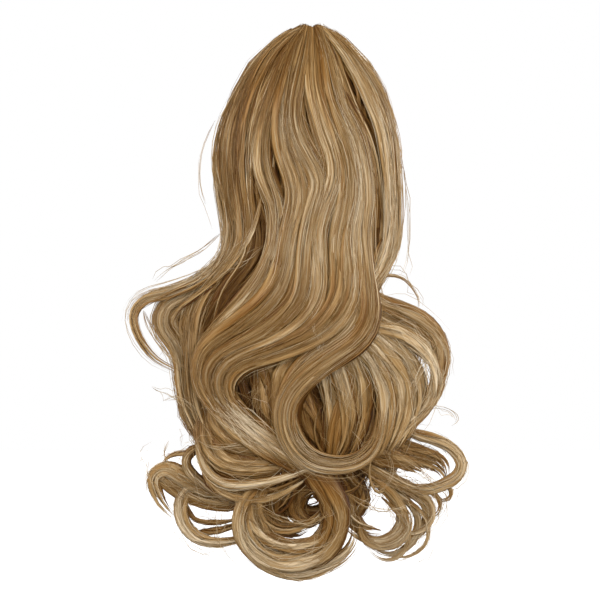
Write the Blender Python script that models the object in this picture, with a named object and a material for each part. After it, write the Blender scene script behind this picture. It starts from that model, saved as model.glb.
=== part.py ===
"""A long curled ponytail hairpiece on a claw clip, modelled with Blender.

The hair hangs down -Z and its outer side faces -Y. The claw clip stands at the origin, inside the
crown of the hair, with its mouth open towards +Y, where it grips the wearer's own ponytail.
Three wefts of hair hang from it, one behind the other.
Run with: blender --background --python part.py
"""

import math
from collections import namedtuple

import bmesh
import bpy
from mathutils import Matrix, Vector

MM = 0.001

# Driving dimensions, in millimetres
CLEARANCE = 0.35  # between touching pieces
CLIP_RADIUS = 19.0
CLIP_WALL = 2.6
CLIP_HALF_LENGTH = 28.0
CLIP_MOUTH = 9.0  # gap between the two jaws
CLIP_SIDES = 24
TOOTH_COUNT = 6
TOOTH_SLOT = 4.6
TOOTH_DEPTH = 10.0
TOOTH_ROOT = 0.45  # where the slots between the teeth start, as a share of the clip's radius
BARREL_RADIUS = 4.0
BARREL_HALF_LENGTH = 21.0
BARREL_SIDES = 16
CLIP_SMOOTH_DEG = 30
HAIR_SMOOTH_DEG = 50
CROWN_CAVITY_TOP = 32.0
CROWN_BACK_Y = 10.0  # the crown wraps round the clip as far back as this
CROWN_FOOT_Z = -33.0  # below this the wefts hang one behind the other
CROWN_INSET = 5.0  # how far the locks stand proud of the crown's body
CAVITY_DROP = 12.0  # how far the room for the clip goes on below the crown
SHOULDER_Z = -35.0  # where the crown has fanned out to its full width
WAIST_Z = -95.0  # where the straight fall ends and the waves begin
OUTER_BACK_Y = -22.35  # back limit of the outer weft
MIDDLE_FRONT_Y = -22.0
MIDDLE_BACK_Y = 10.0
INNER_FRONT_Y = 10.35
PEAK_X = 2.0  # all locks of the crown come together here
PEAK_SHARE = 0.10  # a lock's distance from the peak there, as a share of that at the shoulder
FAN_POWER = 0.62  # how quickly the crown widens below its peak
CROWN_POINTS = 4  # control points of a lock between its root and the shoulder
SHOULDER_DROP = 15.0  # a lock keeps its place this far below the shoulder
ROOT_SPREAD = 0.6  # a lock that starts under the clip starts at this share of its place
ROOT_SINK = 3.0  # how deep a lock's root starts inside its weft
ARC_STEP_DEG = 42.0  # between the control points of a curl
RIM_SHARE = 0.97  # beyond this share of the half width the dome is as deep as there
SECTION_SIDES = 24
WIDE_LOCK = 16.0  # locks wider than this have the finer section
WIDE_LOCK_SIDES = 8
LOCK_SIDES = 6
CURVE_STEPS = 2
WELD = 0.01  # points nearer than this are merged

# A lock's width along its length: narrower at its root, full in the middle, thin at its tip
ROOT_LENGTH = 0.15
ROOT_WIDTH = 0.75
TIP_LENGTH = 0.28
TIP_WIDTH = 0.2
TIP_POWER = 1.4

# How far the cutting boxes reach
CUT_WIDTH = 90.0
CUT_DEPTH = 60.0
CUT_TOP_Z = 80.0
CUT_FOOT_Z = -60.0
OVERCUT = 5.0  # past the face that is cut

Finish = namedtuple("Finish", "name colour roughness metallic")
CLIP_FINISH = Finish("dark_amber_plastic", (0.10, 0.045, 0.02), 0.3, 0.0)
OUTER_FINISH = Finish("golden_hair", (0.37, 0.22, 0.09), 0.4, 0.0)
MIDDLE_FINISH = Finish("amber_hair", (0.30, 0.17, 0.065), 0.4, 0.0)
INNER_FINISH = Finish("shaded_hair", (0.24, 0.13, 0.05), 0.4, 0.0)

# The whole fall of hair, as ellipses
Section = namedtuple("Section", "z half_width half_depth mid_x mid_y")
FALL = [
    Section(46, 9, 7, 2, -7),
    Section(38, 22, 18, 2, -8),
    Section(20, 40, 31, 1, -8),
    Section(0, 51, 37, 1, -8),
    Section(-33, 59, 40, 0, -8),
    Section(-60, 60, 40, 1, -8),
    Section(-95, 58, 39, 3, -8),
    Section(-125, 64, 42, 1, -8),
    Section(-170, 88, 46, 2, -8),
    Section(-215, 88, 48, 0, -8),
    Section(-255, 98, 46, 0, -8),
    Section(-290, 80, 40, -4, -8),
    Section(-320, 42, 28, -6, -8),
]

# The backing that each weft's locks are fused to: a soft core between a front and a back limit
Core = namedtuple("Core", "z half_width mid_x front back")
OUTER_CORE = [
    Core(-20, 44, 0, -36, -24),
    Core(-60, 54, 1, -43, -22.35),
    Core(-95, 49, 2, -41, -22.35),
    Core(-135, 42, -5, -42, -22.35),
    Core(-180, 40, -8, -42, -22.35),
    Core(-212, 22, -14, -38, -22.35),
]
MIDDLE_CORE = [
    Core(-33.5, 30, 0, -20, 6),
    Core(-40, 48, 0, -22, 10),
    Core(-60, 55, 1, -22, 10),
    Core(-100, 53, 0, -22, 10),
    Core(-118, 50, -4, -22, 10),
    Core(-131, 50, -11, -22, 10),
    Core(-145, 61, -11, -22, 10),
    Core(-170, 78, -5, -22, 10),
    Core(-195, 76, 0, -22, 10),
    Core(-222, 64, -2, -22, 10),
    Core(-248, 34, -6, -20, 8),
    Core(-258, 16, -6, -14, 2),
]
INNER_CORE = [
    Core(-33.5, 24, 0, 11, 18),
    Core(-44, 44, 0, 10.35, 24),
    Core(-95, 50, 1, 10.35, 26),
    Core(-131, 45, -6, 10.35, 28),
    Core(-175, 68, -3, 10.35, 30),
    Core(-215, 60, 0, 10.35, 30),
    Core(-245, 44, -2, 10.7, 26),
    Core(-264, 18, -2, 12, 20),
]

# A bend or a curl: centre, radius, first angle and sweep, counter-clockwise from the right as
# seen from outside. An arc of radius 0 is a point that the lock passes through.
Arc = namedtuple("Arc", "x z radius start sweep")

# One lock: how far from the middle it lies at the shoulder and at the waist, or None where it
# leaves the core lower down, its bends and curls, its tip, its width and thickness, and its
# place in the depth of its weft, from 0 inside to 1 outside, at the root and at the tip
Lock = namedtuple("Lock", "name root arcs tip width thick depth_root depth_tip")


def via(x, z):
    return Arc(x, z, 0, 0, 0)


OUTER_LOCKS = [
    Lock("left_edge", (-56, -50), [Arc(-89, -92, 36, -4, -74), Arc(-99, -147, 15, 95, 150)],
         (-84, -184), 12, 9, 0.9, 0.3),
    Lock("left_outer", (-45, -41), [Arc(-103, -85, 62, -8, -50), Arc(-83, -152, 14, 75, 110),
                                    via(-74, -208), Arc(-44, -230, 23, 180, 105)],
         (-12, -249), 17, 11, 0.9, 0.4),
    Lock("left_inner", (-33, -30), [Arc(-39, -176, 29, 142, 105)], (-16, -226), 18, 11, 1, 0.6),
    Lock("middle_left", (-21, -16), [Arc(-41, -181, 18, 140, 105)], (-4, -236), 18, 11, 1, 0.8),
    Lock("middle", (-8, -3), [Arc(-19, -132, 20, -5, -60), Arc(-33, -186, 14, 125, 110)],
         (-14, -224), 18, 11, 1, 0.7),
    Lock("middle_right", (6, 11), [Arc(-6, -134, 22, 0, -68), Arc(-31, -184, 11, 110, 100)],
         (-25, -212), 17, 11, 1, 0.9),
    Lock("ring_outer", (20, 27), [Arc(12, -137, 22, 0, -62), Arc(18, -214, 35, 145, 170)],
         (50, -232), 17, 11, 1, 0.7),
    Lock("ring_inner", (34, 40), [Arc(22, -142, 22, 0, -62), Arc(21, -212, 29, 140, 215)],
         (49, -212), 15, 10, 0.9, 1),
    Lock("right_outer", (46, 52), [Arc(54, -139, 19, 145, 75), Arc(37, -199, 26, 50, -80)],
         (58, -229), 16, 11, 0.9, 0.4),
    Lock("right_edge", (55, 59), [Arc(55, -137, 19, 135, 65), Arc(54, -194, 31, 60, -105)],
         (64, -229), 12, 10, 0.9, 0.3),
]

MIDDLE_LOCKS = [
    Lock("bulge_outer", None, [via(34, -110), Arc(60, -173, 32, 115, -170)],
         (60, -230), 13, 11, 0.4, 0.4),
    Lock("bulge_inner", None, [via(30, -120), Arc(60, -184, 23, 115, -160)],
         (66, -216), 12, 10, 0.8, 0.8),
    Lock("right_fan", None, [via(24, -130), Arc(31, -206, 30, 78, -100)],
         (56, -232), 14, 10, 1, 1),
    Lock("side_left", None, [via(-44, -42), via(-53, -100), Arc(-98, -150, 44, 30, -70),
                             Arc(-66, -205, 20, 110, 130)], (-62, -238), 16, 12, 0.2, 0.8),
    Lock("side_left_low", None, [via(-48, -60), via(-56, -100), Arc(-92, -168, 22, 100, 130)],
         (-92, -206), 14, 11, 0.9, 0.5),
    Lock("side_right", None, [via(44, -42), via(46, -100), via(32, -130), via(54, -147), via(76, -166)],
         (82, -196), 16, 12, 0.2, 0.4),
    Lock("curl_bottom", None, [via(0, -220), via(14, -250), Arc(-11, -274, 30, 20, -235)],
         (-30, -256), 15, 12, 1, 0.8),
    Lock("curl_bottom_band", None, [via(-20, -236), via(-38, -256), Arc(-6, -275, 35, 190, 120)],
         (31, -288), 12, 10, 0.9, 0.5),
    Lock("curl_bottom_inner", None, [via(2, -236), Arc(-9, -268, 15, 60, -230)],
         (-19, -256), 12, 11, 0.4, 0.4),
    Lock("band_low_left", None, [via(2, -243), Arc(-42, -229, 22, -65, -110)],
         (-66, -226), 9, 9, 1, 1),
    Lock("ring_low_left", None, [via(-32, -248), Arc(-62, -273, 20, 110, 180)],
         (-38, -289), 10, 10, 0.7, 0.6),
    Lock("ring_far_left", None, [via(-24, -212), via(-62, -252), Arc(-90, -255, 11, 75, 135)],
         (-85, -274), 12, 10, 0.5, 0.5),
    Lock("ring_low_right", None, [via(44, -226), Arc(83, -240, 19, 120, -255)], (58, -246), 10, 9, 0.6, 0.6),
    Lock("curl_low_right", None, [via(18, -236), via(51, -251), Arc(57, -277, 19, 70, -200)],
         (37, -281), 12, 10, 0.5, 0.7),
    Lock("drop_right", None, [via(10, -238), via(27, -262)], (38, -288), 13, 10, 0.4, 0.6),
]

INNER_LOCKS = [
    Lock("back_1", (-44, -42), [Arc(-20, -142, 34, 170, 60), Arc(-66, -206, 26, 60, -200)],
         (-84, -188), 16, 10, 1, 0.6),
    Lock("back_2", (-29, -28), [Arc(-60, -134, 34, 0, -55), Arc(-46, -204, 26, 140, 150)],
         (-24, -196), 17, 10, 1, 1),
    Lock("back_3", (-14, -13), [Arc(14, -146, 28, 175, 60), Arc(-20, -212, 24, 50, -190)],
         (-44, -196), 17, 10, 1, 0.8),
    Lock("back_4", (2, 2), [Arc(-26, -142, 28, 0, -60), Arc(10, -220, 30, 150, 165)],
         (38, -206), 17, 10, 1, 0.9),
    Lock("back_5", (17, 17), [Arc(46, -150, 28, 175, 62), Arc(18, -232, 26, 60, -200)],
         (-8, -222), 16, 10, 1, 0.7),
    Lock("back_6", (31, 31), [Arc(4, -136, 28, 0, -60), Arc(46, -206, 24, 150, 170)],
         (66, -190), 17, 10, 1, 1),
    Lock("back_7", (45, 44), [Arc(70, -148, 30, 170, 65), Arc(60, -222, 24, 60, -180)],
         (38, -222), 15, 10, 1, 0.7),
]


def section_at(z):
    """The ellipse of the whole fall at this height."""
    z = min(max(z, FALL[-1].z), FALL[0].z)
    for upper, lower in zip(FALL, FALL[1:]):
        if z >= lower.z:
            t = (upper.z - z) / (upper.z - lower.z)
            return Section(*(a + (b - a) * t for a, b in zip(upper, lower)))
    return FALL[-1]


def dome(x, z):
    """Middle y and half depth of the fall at this place, as seen from outside."""
    section = section_at(z)
    across = min(abs(x - section.mid_x) / section.half_width, RIM_SHARE)
    return section.mid_y, section.half_depth * math.sqrt(1 - across**2)


def outer_depth(x, z, thick, share):
    """Y of a lock of the outer weft: on the dome of the fall, in front of its back limit."""
    middle, depth = dome(x, z)
    surface = middle - depth + thick / 2
    above_foot = min(max((z - CROWN_FOOT_Z) / -CROWN_FOOT_Z, 0), 1)
    limit = OUTER_BACK_Y - thick / 2 + above_foot * (CROWN_BACK_Y - OUTER_BACK_Y)
    return min(limit + (surface - limit) * share, limit)


def middle_depth(x, z, thick, share):
    """Y of a lock of the middle weft, between its two flat sides."""
    inside, outside = MIDDLE_BACK_Y - thick / 2, MIDDLE_FRONT_Y + thick / 2
    return inside + (outside - inside) * share


def inner_depth(x, z, thick, share):
    """Y of a lock of the inner weft: on the back of the fall, behind its front limit."""
    middle, depth = dome(x, z)
    limit = INNER_FRONT_Y + thick / 2
    return max(limit, limit + (middle + depth - thick / 2 - limit) * share)


def fan_share(z):
    """Share of the shoulder's width that the crown has at this height."""
    peak_z = FALL[0].z
    fallen = min(max((peak_z - z) / (peak_z - SHOULDER_Z), 0), 1)
    return PEAK_SHARE + (1 - PEAK_SHARE) * math.sin(math.pi / 2 * fallen**FAN_POWER)


def flat_route(lock, root_z):
    """Control points of the lock as seen from outside, from the root to the tip."""
    route = []
    if lock.root:
        shoulder, waist = lock.root
        steps = CROWN_POINTS if root_z > 0 else 1
        for i in range(steps):
            z = root_z + (SHOULDER_Z - root_z) * i / steps
            share = fan_share(z) if root_z > 0 else ROOT_SPREAD
            route.append((PEAK_X + (shoulder - PEAK_X) * share, z))
        route += [(shoulder, SHOULDER_Z - SHOULDER_DROP), (waist, WAIST_Z)]
    for arc in lock.arcs:
        steps = max(1, round(abs(arc.sweep) / ARC_STEP_DEG))
        # the smooth curve runs inside its control points, so these lie a little outside
        reach = arc.radius * (1 + math.radians(arc.sweep / steps) ** 2 / 6)
        for i in range(steps + 1 if arc.radius else 1):
            angle = math.radians(arc.start + arc.sweep * i / steps)
            route.append((arc.x + reach * math.cos(angle), arc.z + reach * math.sin(angle)))
    route.append(lock.tip)
    return route


def taper(t):
    """Share of a lock's width at this share of its length."""
    if t < ROOT_LENGTH:
        return ROOT_WIDTH + (1 - ROOT_WIDTH) * t / ROOT_LENGTH
    into_tip = max(t - (1 - TIP_LENGTH), 0) / TIP_LENGTH
    return 1 - (1 - TIP_WIDTH) * into_tip**TIP_POWER


def new_object(name, data, collection):
    made = bpy.data.objects.new(name, data)
    collection.objects.link(made)
    return made


def profile_curve(lock, sides, collection):
    """The lock's oval section, as a curve."""
    curve = bpy.data.curves.new("section_" + lock.name, "CURVE")
    curve.dimensions = "2D"
    spline = curve.splines.new("POLY")
    spline.points.add(sides - 1)
    for i, point in enumerate(spline.points):
        angle = 2 * math.pi * (i + 0.5) / sides
        point.co = (lock.width / 2 * MM * math.cos(angle), lock.thick / 2 * MM * math.sin(angle), 0, 1)
    spline.use_cyclic_u = True
    return new_object(curve.name, curve, collection)


def mesh_of(source, collection):
    """A mesh object with the evaluated shape of a curve, its caps welded; the curve goes."""
    bpy.context.view_layer.update()
    evaluated = source.evaluated_get(bpy.context.evaluated_depsgraph_get())
    mesh = bpy.data.meshes.new_from_object(evaluated)
    mesh.transform(source.matrix_world)
    work = bmesh.new()
    work.from_mesh(mesh)
    bmesh.ops.remove_doubles(work, verts=work.verts, dist=WELD * MM)
    bmesh.ops.recalc_face_normals(work, faces=work.faces)
    work.to_mesh(mesh)
    work.free()
    name = source.name
    bpy.data.objects.remove(source)
    return new_object(name, mesh, collection)


def make_lock(lock, root_z, depth_of, collection):
    """One lock: an oval section along a smooth curve, flat side out, thinning to its tip.

    The depth of each control point comes from depth_of, the rule of the lock's own weft.
    """
    route = flat_route(lock, root_z)
    curve = bpy.data.curves.new(lock.name, "CURVE")
    curve.dimensions = "3D"
    curve.twist_mode = "Z_UP"
    curve.bevel_mode = "OBJECT"
    sides = WIDE_LOCK_SIDES if lock.width > WIDE_LOCK else LOCK_SIDES
    profile = profile_curve(lock, sides, collection)
    curve.bevel_object = profile
    curve.use_fill_caps = True
    curve.resolution_u = CURVE_STEPS
    spline = curve.splines.new("NURBS")
    spline.points.add(len(route) - 1)
    spline.order_u = 4
    spline.use_endpoint_u = True
    for i, (x, z) in enumerate(route):
        t = i / (len(route) - 1)
        share = lock.depth_root + (lock.depth_tip - lock.depth_root) * t
        y = depth_of(x, z, lock.thick, share)
        # the curve is drawn flat, seen from outside, and the object stands it up
        spline.points[i].co = (x * MM, z * MM, -y * MM, 1)
        spline.points[i].radius = taper(t)
    made = new_object(lock.name, curve, collection)
    made.matrix_world = Matrix.Rotation(math.radians(90), 4, "X")
    mesh_object = mesh_of(made, collection)
    bpy.data.objects.remove(profile)
    return mesh_object


def loft(name, rings, collection):
    """A closed body through rings of points, top ring first."""
    work = bmesh.new()
    rows = [[work.verts.new(Vector(point) * MM) for point in ring] for ring in rings]
    count = len(rows[0])
    for upper, lower in zip(rows, rows[1:]):
        for i in range(count):
            j = (i + 1) % count
            work.faces.new((upper[i], lower[i], lower[j], upper[j]))
    work.faces.new(rows[0])
    work.faces.new(reversed(rows[-1]))
    bmesh.ops.recalc_face_normals(work, faces=work.faces)
    mesh = bpy.data.meshes.new(name)
    work.to_mesh(mesh)
    work.free()
    return new_object(name, mesh, collection)


def oval_ring(z, mid_x, mid_y, half_width, half_depth):
    angles = [2 * math.pi * i / SECTION_SIDES for i in range(SECTION_SIDES)]
    return [(mid_x + half_width * math.cos(a), mid_y + half_depth * math.sin(a), z) for a in angles]


def make_core(name, rows, collection):
    """The backing of a weft, lofted through the ovals of its table."""
    rings = [oval_ring(row.z, row.mid_x, (row.front + row.back) / 2, row.half_width,
                       (row.back - row.front) / 2) for row in rows]
    return loft(name, rings, collection)


def make_crown(collection):
    """The dome of hair over the clip, from the peak to the foot of the crown."""
    rings = [oval_ring(s.z - CROWN_INSET / 2, s.mid_x, s.mid_y, s.half_width - CROWN_INSET,
                       s.half_depth - CROWN_INSET)
             for s in FALL if s.z >= CROWN_FOOT_Z and s.half_width > CROWN_INSET * 2]
    return loft("crown", rings, collection)


def box(name, low, high, collection):
    """A box between two corners."""
    work = bmesh.new()
    bmesh.ops.create_cube(work, size=1)
    size = Vector(high) - Vector(low)
    middle = (Vector(high) + Vector(low)) / 2
    bmesh.ops.scale(work, vec=size * MM, verts=work.verts)
    bmesh.ops.translate(work, vec=middle * MM, verts=work.verts)
    mesh = bpy.data.meshes.new(name)
    work.to_mesh(mesh)
    work.free()
    return new_object(name, mesh, collection)


def upright(name, radius, low, high, y, sides, collection):
    """An upright cylinder."""
    work = bmesh.new()
    bmesh.ops.create_cone(work, cap_ends=True, segments=sides, radius1=radius * MM,
                          radius2=radius * MM, depth=(high - low) * MM)
    bmesh.ops.translate(work, vec=Vector((0, y, (low + high) / 2)) * MM, verts=work.verts)
    mesh = bpy.data.meshes.new(name)
    work.to_mesh(mesh)
    work.free()
    return new_object(name, mesh, collection)


def combine(target, others, operation):
    """Applies an exact Boolean of the target with each of the others in turn."""
    for other in others:
        modifier = target.modifiers.new(operation.lower(), "BOOLEAN")
        modifier.operation = operation
        modifier.solver = "EXACT"
        modifier.use_self = operation == "UNION"  # a curl may run through itself
        modifier.object = other
        bpy.context.view_layer.update()
        evaluated = target.evaluated_get(bpy.context.evaluated_depsgraph_get())
        mesh = bpy.data.meshes.new_from_object(evaluated)
        target.modifiers.clear()
        old = target.data
        target.data = mesh
        bpy.data.meshes.remove(old)
        bpy.data.objects.remove(other)
    return target


def drop_crumbs(part):
    """Keeps only the main skin: where locks graze, a union can leave a crumb or a sealed bubble."""
    work = bmesh.new()
    work.from_mesh(part.data)
    unseen, bodies = set(work.verts), []
    while unseen:
        front = [unseen.pop()]
        body = list(front)
        while front:
            near = {edge.other_vert(vert) for vert in front for edge in vert.link_edges} & unseen
            unseen -= near
            front = list(near)
            body += front
        bodies.append(body)
    bodies.sort(key=len)
    for body in bodies[:-1]:
        bmesh.ops.delete(work, geom=body, context="VERTS")
    work.to_mesh(part.data)
    work.free()


def make_material(look):
    material = bpy.data.materials.new(look.name)
    material.use_nodes = True
    shader = material.node_tree.nodes["Principled BSDF"]
    shader.inputs["Base Color"].default_value = (*look.colour, 1)
    shader.inputs["Roughness"].default_value = look.roughness
    shader.inputs["Metallic"].default_value = look.metallic
    return material


def finish(part, name, look, smooth_deg):
    """Gives the node its name, its material and its shading."""
    part.name = name
    part.data.name = name
    part.data.materials.clear()
    part.data.materials.append(make_material(look))
    part.data.shade_smooth()
    part.data.set_sharp_from_angle(angle=math.radians(smooth_deg))


def barrel_y():
    """Middle of the spring barrel, sunk into the clip's wall opposite the mouth."""
    return -(CLIP_RADIUS - CLIP_WALL / 2)


def make_claw_clip(parts, tools):
    """Two curved jaws with teeth, joined at the spring barrel, as one plain piece."""
    clip = upright("claw_clip", CLIP_RADIUS, -CLIP_HALF_LENGTH, CLIP_HALF_LENGTH, 0,
                   CLIP_SIDES, parts)
    barrel = upright("barrel", BARREL_RADIUS, -BARREL_HALF_LENGTH, BARREL_HALF_LENGTH, barrel_y(),
                     BARREL_SIDES, tools)
    reach = CLIP_HALF_LENGTH + OVERCUT
    bore = upright("bore", CLIP_RADIUS - CLIP_WALL, -reach, reach, 0, CLIP_SIDES, tools)
    mouth = box("mouth", (-CLIP_MOUTH / 2, 0, -reach),
                (CLIP_MOUTH / 2, CLIP_RADIUS + OVERCUT, reach), tools)
    slots = []
    pitch = 2 * CLIP_HALF_LENGTH / TOOTH_COUNT
    side = CLIP_MOUTH / 2 + TOOTH_DEPTH
    for i in range(TOOTH_COUNT - 1):
        z = -CLIP_HALF_LENGTH + pitch * (i + 1)
        slots.append(box(f"slot_{i}", (-side, CLIP_RADIUS * TOOTH_ROOT, z - TOOTH_SLOT / 2),
                         (side, CLIP_RADIUS + OVERCUT, z + TOOTH_SLOT / 2), tools))
    combine(clip, [bore, mouth, *slots], "DIFFERENCE")
    return combine(clip, [barrel], "UNION")


def make_clip_space(tools):
    """The room for the clip inside the crown, open to the back and downwards."""
    foot = CROWN_FOOT_Z - CAVITY_DROP
    radius = CLIP_RADIUS + CLEARANCE
    room = upright("room", radius, foot, CROWN_CAVITY_TOP, 0, CLIP_SIDES, tools)
    barrel = upright("barrel_room", BARREL_RADIUS + CLEARANCE, foot, CROWN_CAVITY_TOP, barrel_y(),
                     BARREL_SIDES, tools)
    way = box("way", (-radius, 0, foot - OVERCUT),
              (radius, CROWN_BACK_Y + CUT_DEPTH, CROWN_CAVITY_TOP), tools)
    return [room, barrel, way]


def make_outer_weft(parts, tools):
    """The crown over the clip and the locks that sweep down the front, fused together."""
    weft = make_crown(parts)
    root_z = FALL[0].z - ROOT_SINK
    locks = [make_lock(lock, root_z, outer_depth, tools) for lock in OUTER_LOCKS]
    combine(weft, [make_core("outer_core", OUTER_CORE, tools), *locks], "UNION")
    back = CROWN_BACK_Y + CUT_DEPTH
    behind = box("behind", (-CUT_WIDTH, CROWN_BACK_Y, CUT_FOOT_Z),
                 (CUT_WIDTH, back, CUT_TOP_Z), tools)
    below = box("below", (-CUT_WIDTH, OUTER_BACK_Y, CUT_FOOT_Z),
                (CUT_WIDTH, back, CROWN_FOOT_Z), tools)
    combine(weft, [behind, below, *make_clip_space(tools)], "DIFFERENCE")
    drop_crumbs(weft)
    return weft


def make_middle_weft(parts, tools):
    """The locks between the front and the back, fused to their core."""
    weft = make_core("middle_weft", MIDDLE_CORE, parts)
    locks = [make_lock(lock, SHOULDER_Z, middle_depth, tools) for lock in MIDDLE_LOCKS]
    combine(weft, locks, "UNION")
    drop_crumbs(weft)
    return weft


def make_inner_weft(parts, tools):
    """The locks at the back, which lie against the wearer, fused to their core."""
    weft = make_core("inner_weft", INNER_CORE, parts)
    root_z = INNER_CORE[0].z - ROOT_SINK
    locks = [make_lock(lock, root_z, inner_depth, tools) for lock in INNER_LOCKS]
    combine(weft, locks, "UNION")
    drop_crumbs(weft)
    return weft


def main():
    for existing in list(bpy.data.objects):
        bpy.data.objects.remove(existing)
    parts = bpy.data.collections.new("ponytail_hairpiece")
    tools = bpy.data.collections.new("construction")
    for collection in (parts, tools):
        bpy.context.scene.collection.children.link(collection)
    finish(make_claw_clip(parts, tools), "claw_clip", CLIP_FINISH, CLIP_SMOOTH_DEG)
    finish(make_outer_weft(parts, tools), "outer_weft", OUTER_FINISH, HAIR_SMOOTH_DEG)
    finish(make_middle_weft(parts, tools), "middle_weft", MIDDLE_FINISH, HAIR_SMOOTH_DEG)
    finish(make_inner_weft(parts, tools), "inner_weft", INNER_FINISH, HAIR_SMOOTH_DEG)


main()
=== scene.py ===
# A long curled ponytail hairpiece on a claw clip: the finish of every lock, strand and curl.
# Metres, +Z up, the outer side of the hair faces -Y. Places given in the tables are millimetres.
import math

import bpy
import numpy as np
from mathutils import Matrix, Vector


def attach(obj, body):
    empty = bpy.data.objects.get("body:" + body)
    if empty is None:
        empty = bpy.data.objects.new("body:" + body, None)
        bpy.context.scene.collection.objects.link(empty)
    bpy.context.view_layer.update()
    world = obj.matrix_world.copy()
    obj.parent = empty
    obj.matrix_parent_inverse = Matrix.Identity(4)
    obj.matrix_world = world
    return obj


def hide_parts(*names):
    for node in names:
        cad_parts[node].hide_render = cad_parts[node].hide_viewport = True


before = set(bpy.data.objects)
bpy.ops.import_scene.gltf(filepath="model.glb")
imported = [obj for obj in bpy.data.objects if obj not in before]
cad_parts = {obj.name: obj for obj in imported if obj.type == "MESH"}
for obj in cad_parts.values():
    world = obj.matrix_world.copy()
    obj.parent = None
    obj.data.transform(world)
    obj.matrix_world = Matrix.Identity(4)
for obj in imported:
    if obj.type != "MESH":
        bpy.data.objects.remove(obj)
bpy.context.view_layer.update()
print("frame loaded:", list(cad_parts))

mm = 0.001
goldenStep = 0.618  # multiples of it, modulo 1, spread things evenly and without a pattern

# The fall of hair as ellipses: height, half width with the curls and without them, depth to the
# front and to the back, painted sheen that lightens the waves where they turn to the light, middle.
fallForm = {
    "z": [50, 46, 38, 20, 0, -33, -60, -85, -105, -118, -130, -142, -155, -170, -215, -255, -290, -320],
    "halfWidth": [6, 10, 24, 41, 51, 60, 61, 59, 59, 62, 66, 71, 79, 88, 88, 98, 80, 44],
    "front": [14, 17, 28, 39, 45, 47, 45, 44, 49, 52, 55, 55.5, 56.5, 57, 55, 46, 34, 22],
    "bodyWidth": [5, 9, 22, 39, 49, 57, 58, 55, 53, 50, 47, 53, 62, 70, 68, 52, 34, 16],
    "back": [-4, -2, 4, 9, 11, 18, 26, 27, 28, 29.5, 31, 32.5, 34.5, 36, 38, 36, 30, 20],
    "paintedSheen": [0, 0, 0, 0, 0.02, 0.06, 0.03, 0.03, 0.06, -0.02, -0.06, -0.08, -0.05, 0, 0, 0, 0, 0],
    "midX": [2, 2, 2, 1, 1, 0, 0, 2, 1, -2, -7, -5, -2, 0, 0, 0, -4, -6],
}
roundRadius = 58.0  # a route round the fall is measured in mm along a circle of this radius


def atHeight(column, z):
    # a column of fallForm, straight between its rows
    return np.interp(-np.asarray(z), -np.array(fallForm["z"]), fallForm[column])


def frontSurface(x, z, lift):
    # y is the lift less the front depth times the root of 1 - u squared, where u is the distance from
    # the middle over the half width. Among the curls the locks keep off the rim and face straight out.
    limit = np.interp(z, [-150, -100], [0.80, 0.985])
    u = smoothed(np.clip((x - atHeight("midX", z)) / atHeight("halfWidth", z), -limit, limit), 15)
    y = smoothed(lift - atHeight("front", z) * np.sqrt(1 - u**2), 15)
    u = u * np.interp(z, [-150, -110], [0.35, 1.0])
    return np.stack([x, y, z], axis=1), np.stack([u, -np.sqrt(1 - u**2), 0 * u], axis=1)


def roundSurface(s, z, lift):
    # The angle from the front is s over roundRadius. x is the middle plus the body's half width times its
    # sine, y is minus the front's or the back's depth times its cosine, both less the lift.
    sine, cosine = np.sin(s / roundRadius), np.cos(s / roundRadius)
    depth = np.where(cosine > 0, atHeight("front", z), atHeight("back", z))
    width = atHeight("bodyWidth", z)
    x = atHeight("midX", z) + (width - lift) * sine
    y = smoothed(-(depth - lift) * cosine, 9)
    return np.stack([x, y, z], axis=1), unit(np.stack([sine, -cosine, 0 * sine], axis=1))


def smoothed(values, width):
    # the running mean over this many samples, taken twice, with the ends held
    kernel = np.ones(width) / width
    before = width // 2
    for _ in range(2):
        padded = np.concatenate([[values[0]] * before, values, [values[-1]] * (width - 1 - before)])
        values = np.convolve(padded, kernel, "valid")
    return values


def naturalSpline(knots, values, at):
    # The natural cubic spline: the second derivative at each knot comes from the system that makes the
    # slopes meet there and is zero at both ends, and each piece is the cubic with those values.
    h = np.diff(knots)
    count = len(knots)
    system, right = np.eye(count), np.zeros((count, values.shape[1]))
    for i in range(1, count - 1):
        system[i, i - 1 : i + 2] = h[i - 1], 2 * (h[i - 1] + h[i]), h[i]
        right[i] = 6 * ((values[i + 1] - values[i]) / h[i] - (values[i] - values[i - 1]) / h[i - 1])
    bend = np.linalg.solve(system, right)
    i = np.clip(np.searchsorted(knots, at) - 1, 0, count - 2)
    a, b = (knots[i + 1] - at)[:, None], (at - knots[i])[:, None]
    hi = h[i][:, None]
    return (bend[i] * a**3 / (6 * hi) + bend[i + 1] * b**3 / (6 * hi)
            + (values[i] / hi - bend[i] * hi / 6) * a + (values[i + 1] / hi - bend[i + 1] * hi / 6) * b)


def unit(v):
    # the vectors at length 1
    return v / np.maximum(np.linalg.norm(v, axis=-1, keepdims=True), 1e-9)


def lengthsOf(points):
    # how far along the line each point lies
    return np.concatenate([[0], np.cumsum(np.linalg.norm(np.diff(points, axis=0), axis=1))])


def spread(values, share):
    # values at equal steps from share 0 to 1, straight between them
    return np.interp(share, np.linspace(0, 1, len(values)), values)


def linked(name, data):
    made = bpy.data.objects.new(name, data)
    bpy.context.scene.collection.objects.link(made)
    return made


def routePoints(route):
    # (x, z) is a point; (x, z, radius, start, sweep) is an arc about x, z, in degrees, of points 36 apart
    points = []
    for stop in route:
        if len(stop) == 2:
            points.append(stop)
        else:
            cx, cz, radius, start, sweep = stop
            for angle in np.radians(np.linspace(start, start + sweep, max(2, round(abs(sweep) / 36) + 1))):
                points.append((cx + radius * math.cos(angle), cz + radius * math.sin(angle)))
    return np.array(points, float)


def splineOf(route, count=0):
    # the smooth line through a route, at this many points or one for each mm
    flat = routePoints(route)
    knots = lengthsOf(flat)
    return naturalSpline(knots, flat, np.linspace(0, knots[-1], count or max(40, int(knots[-1]))))


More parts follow.
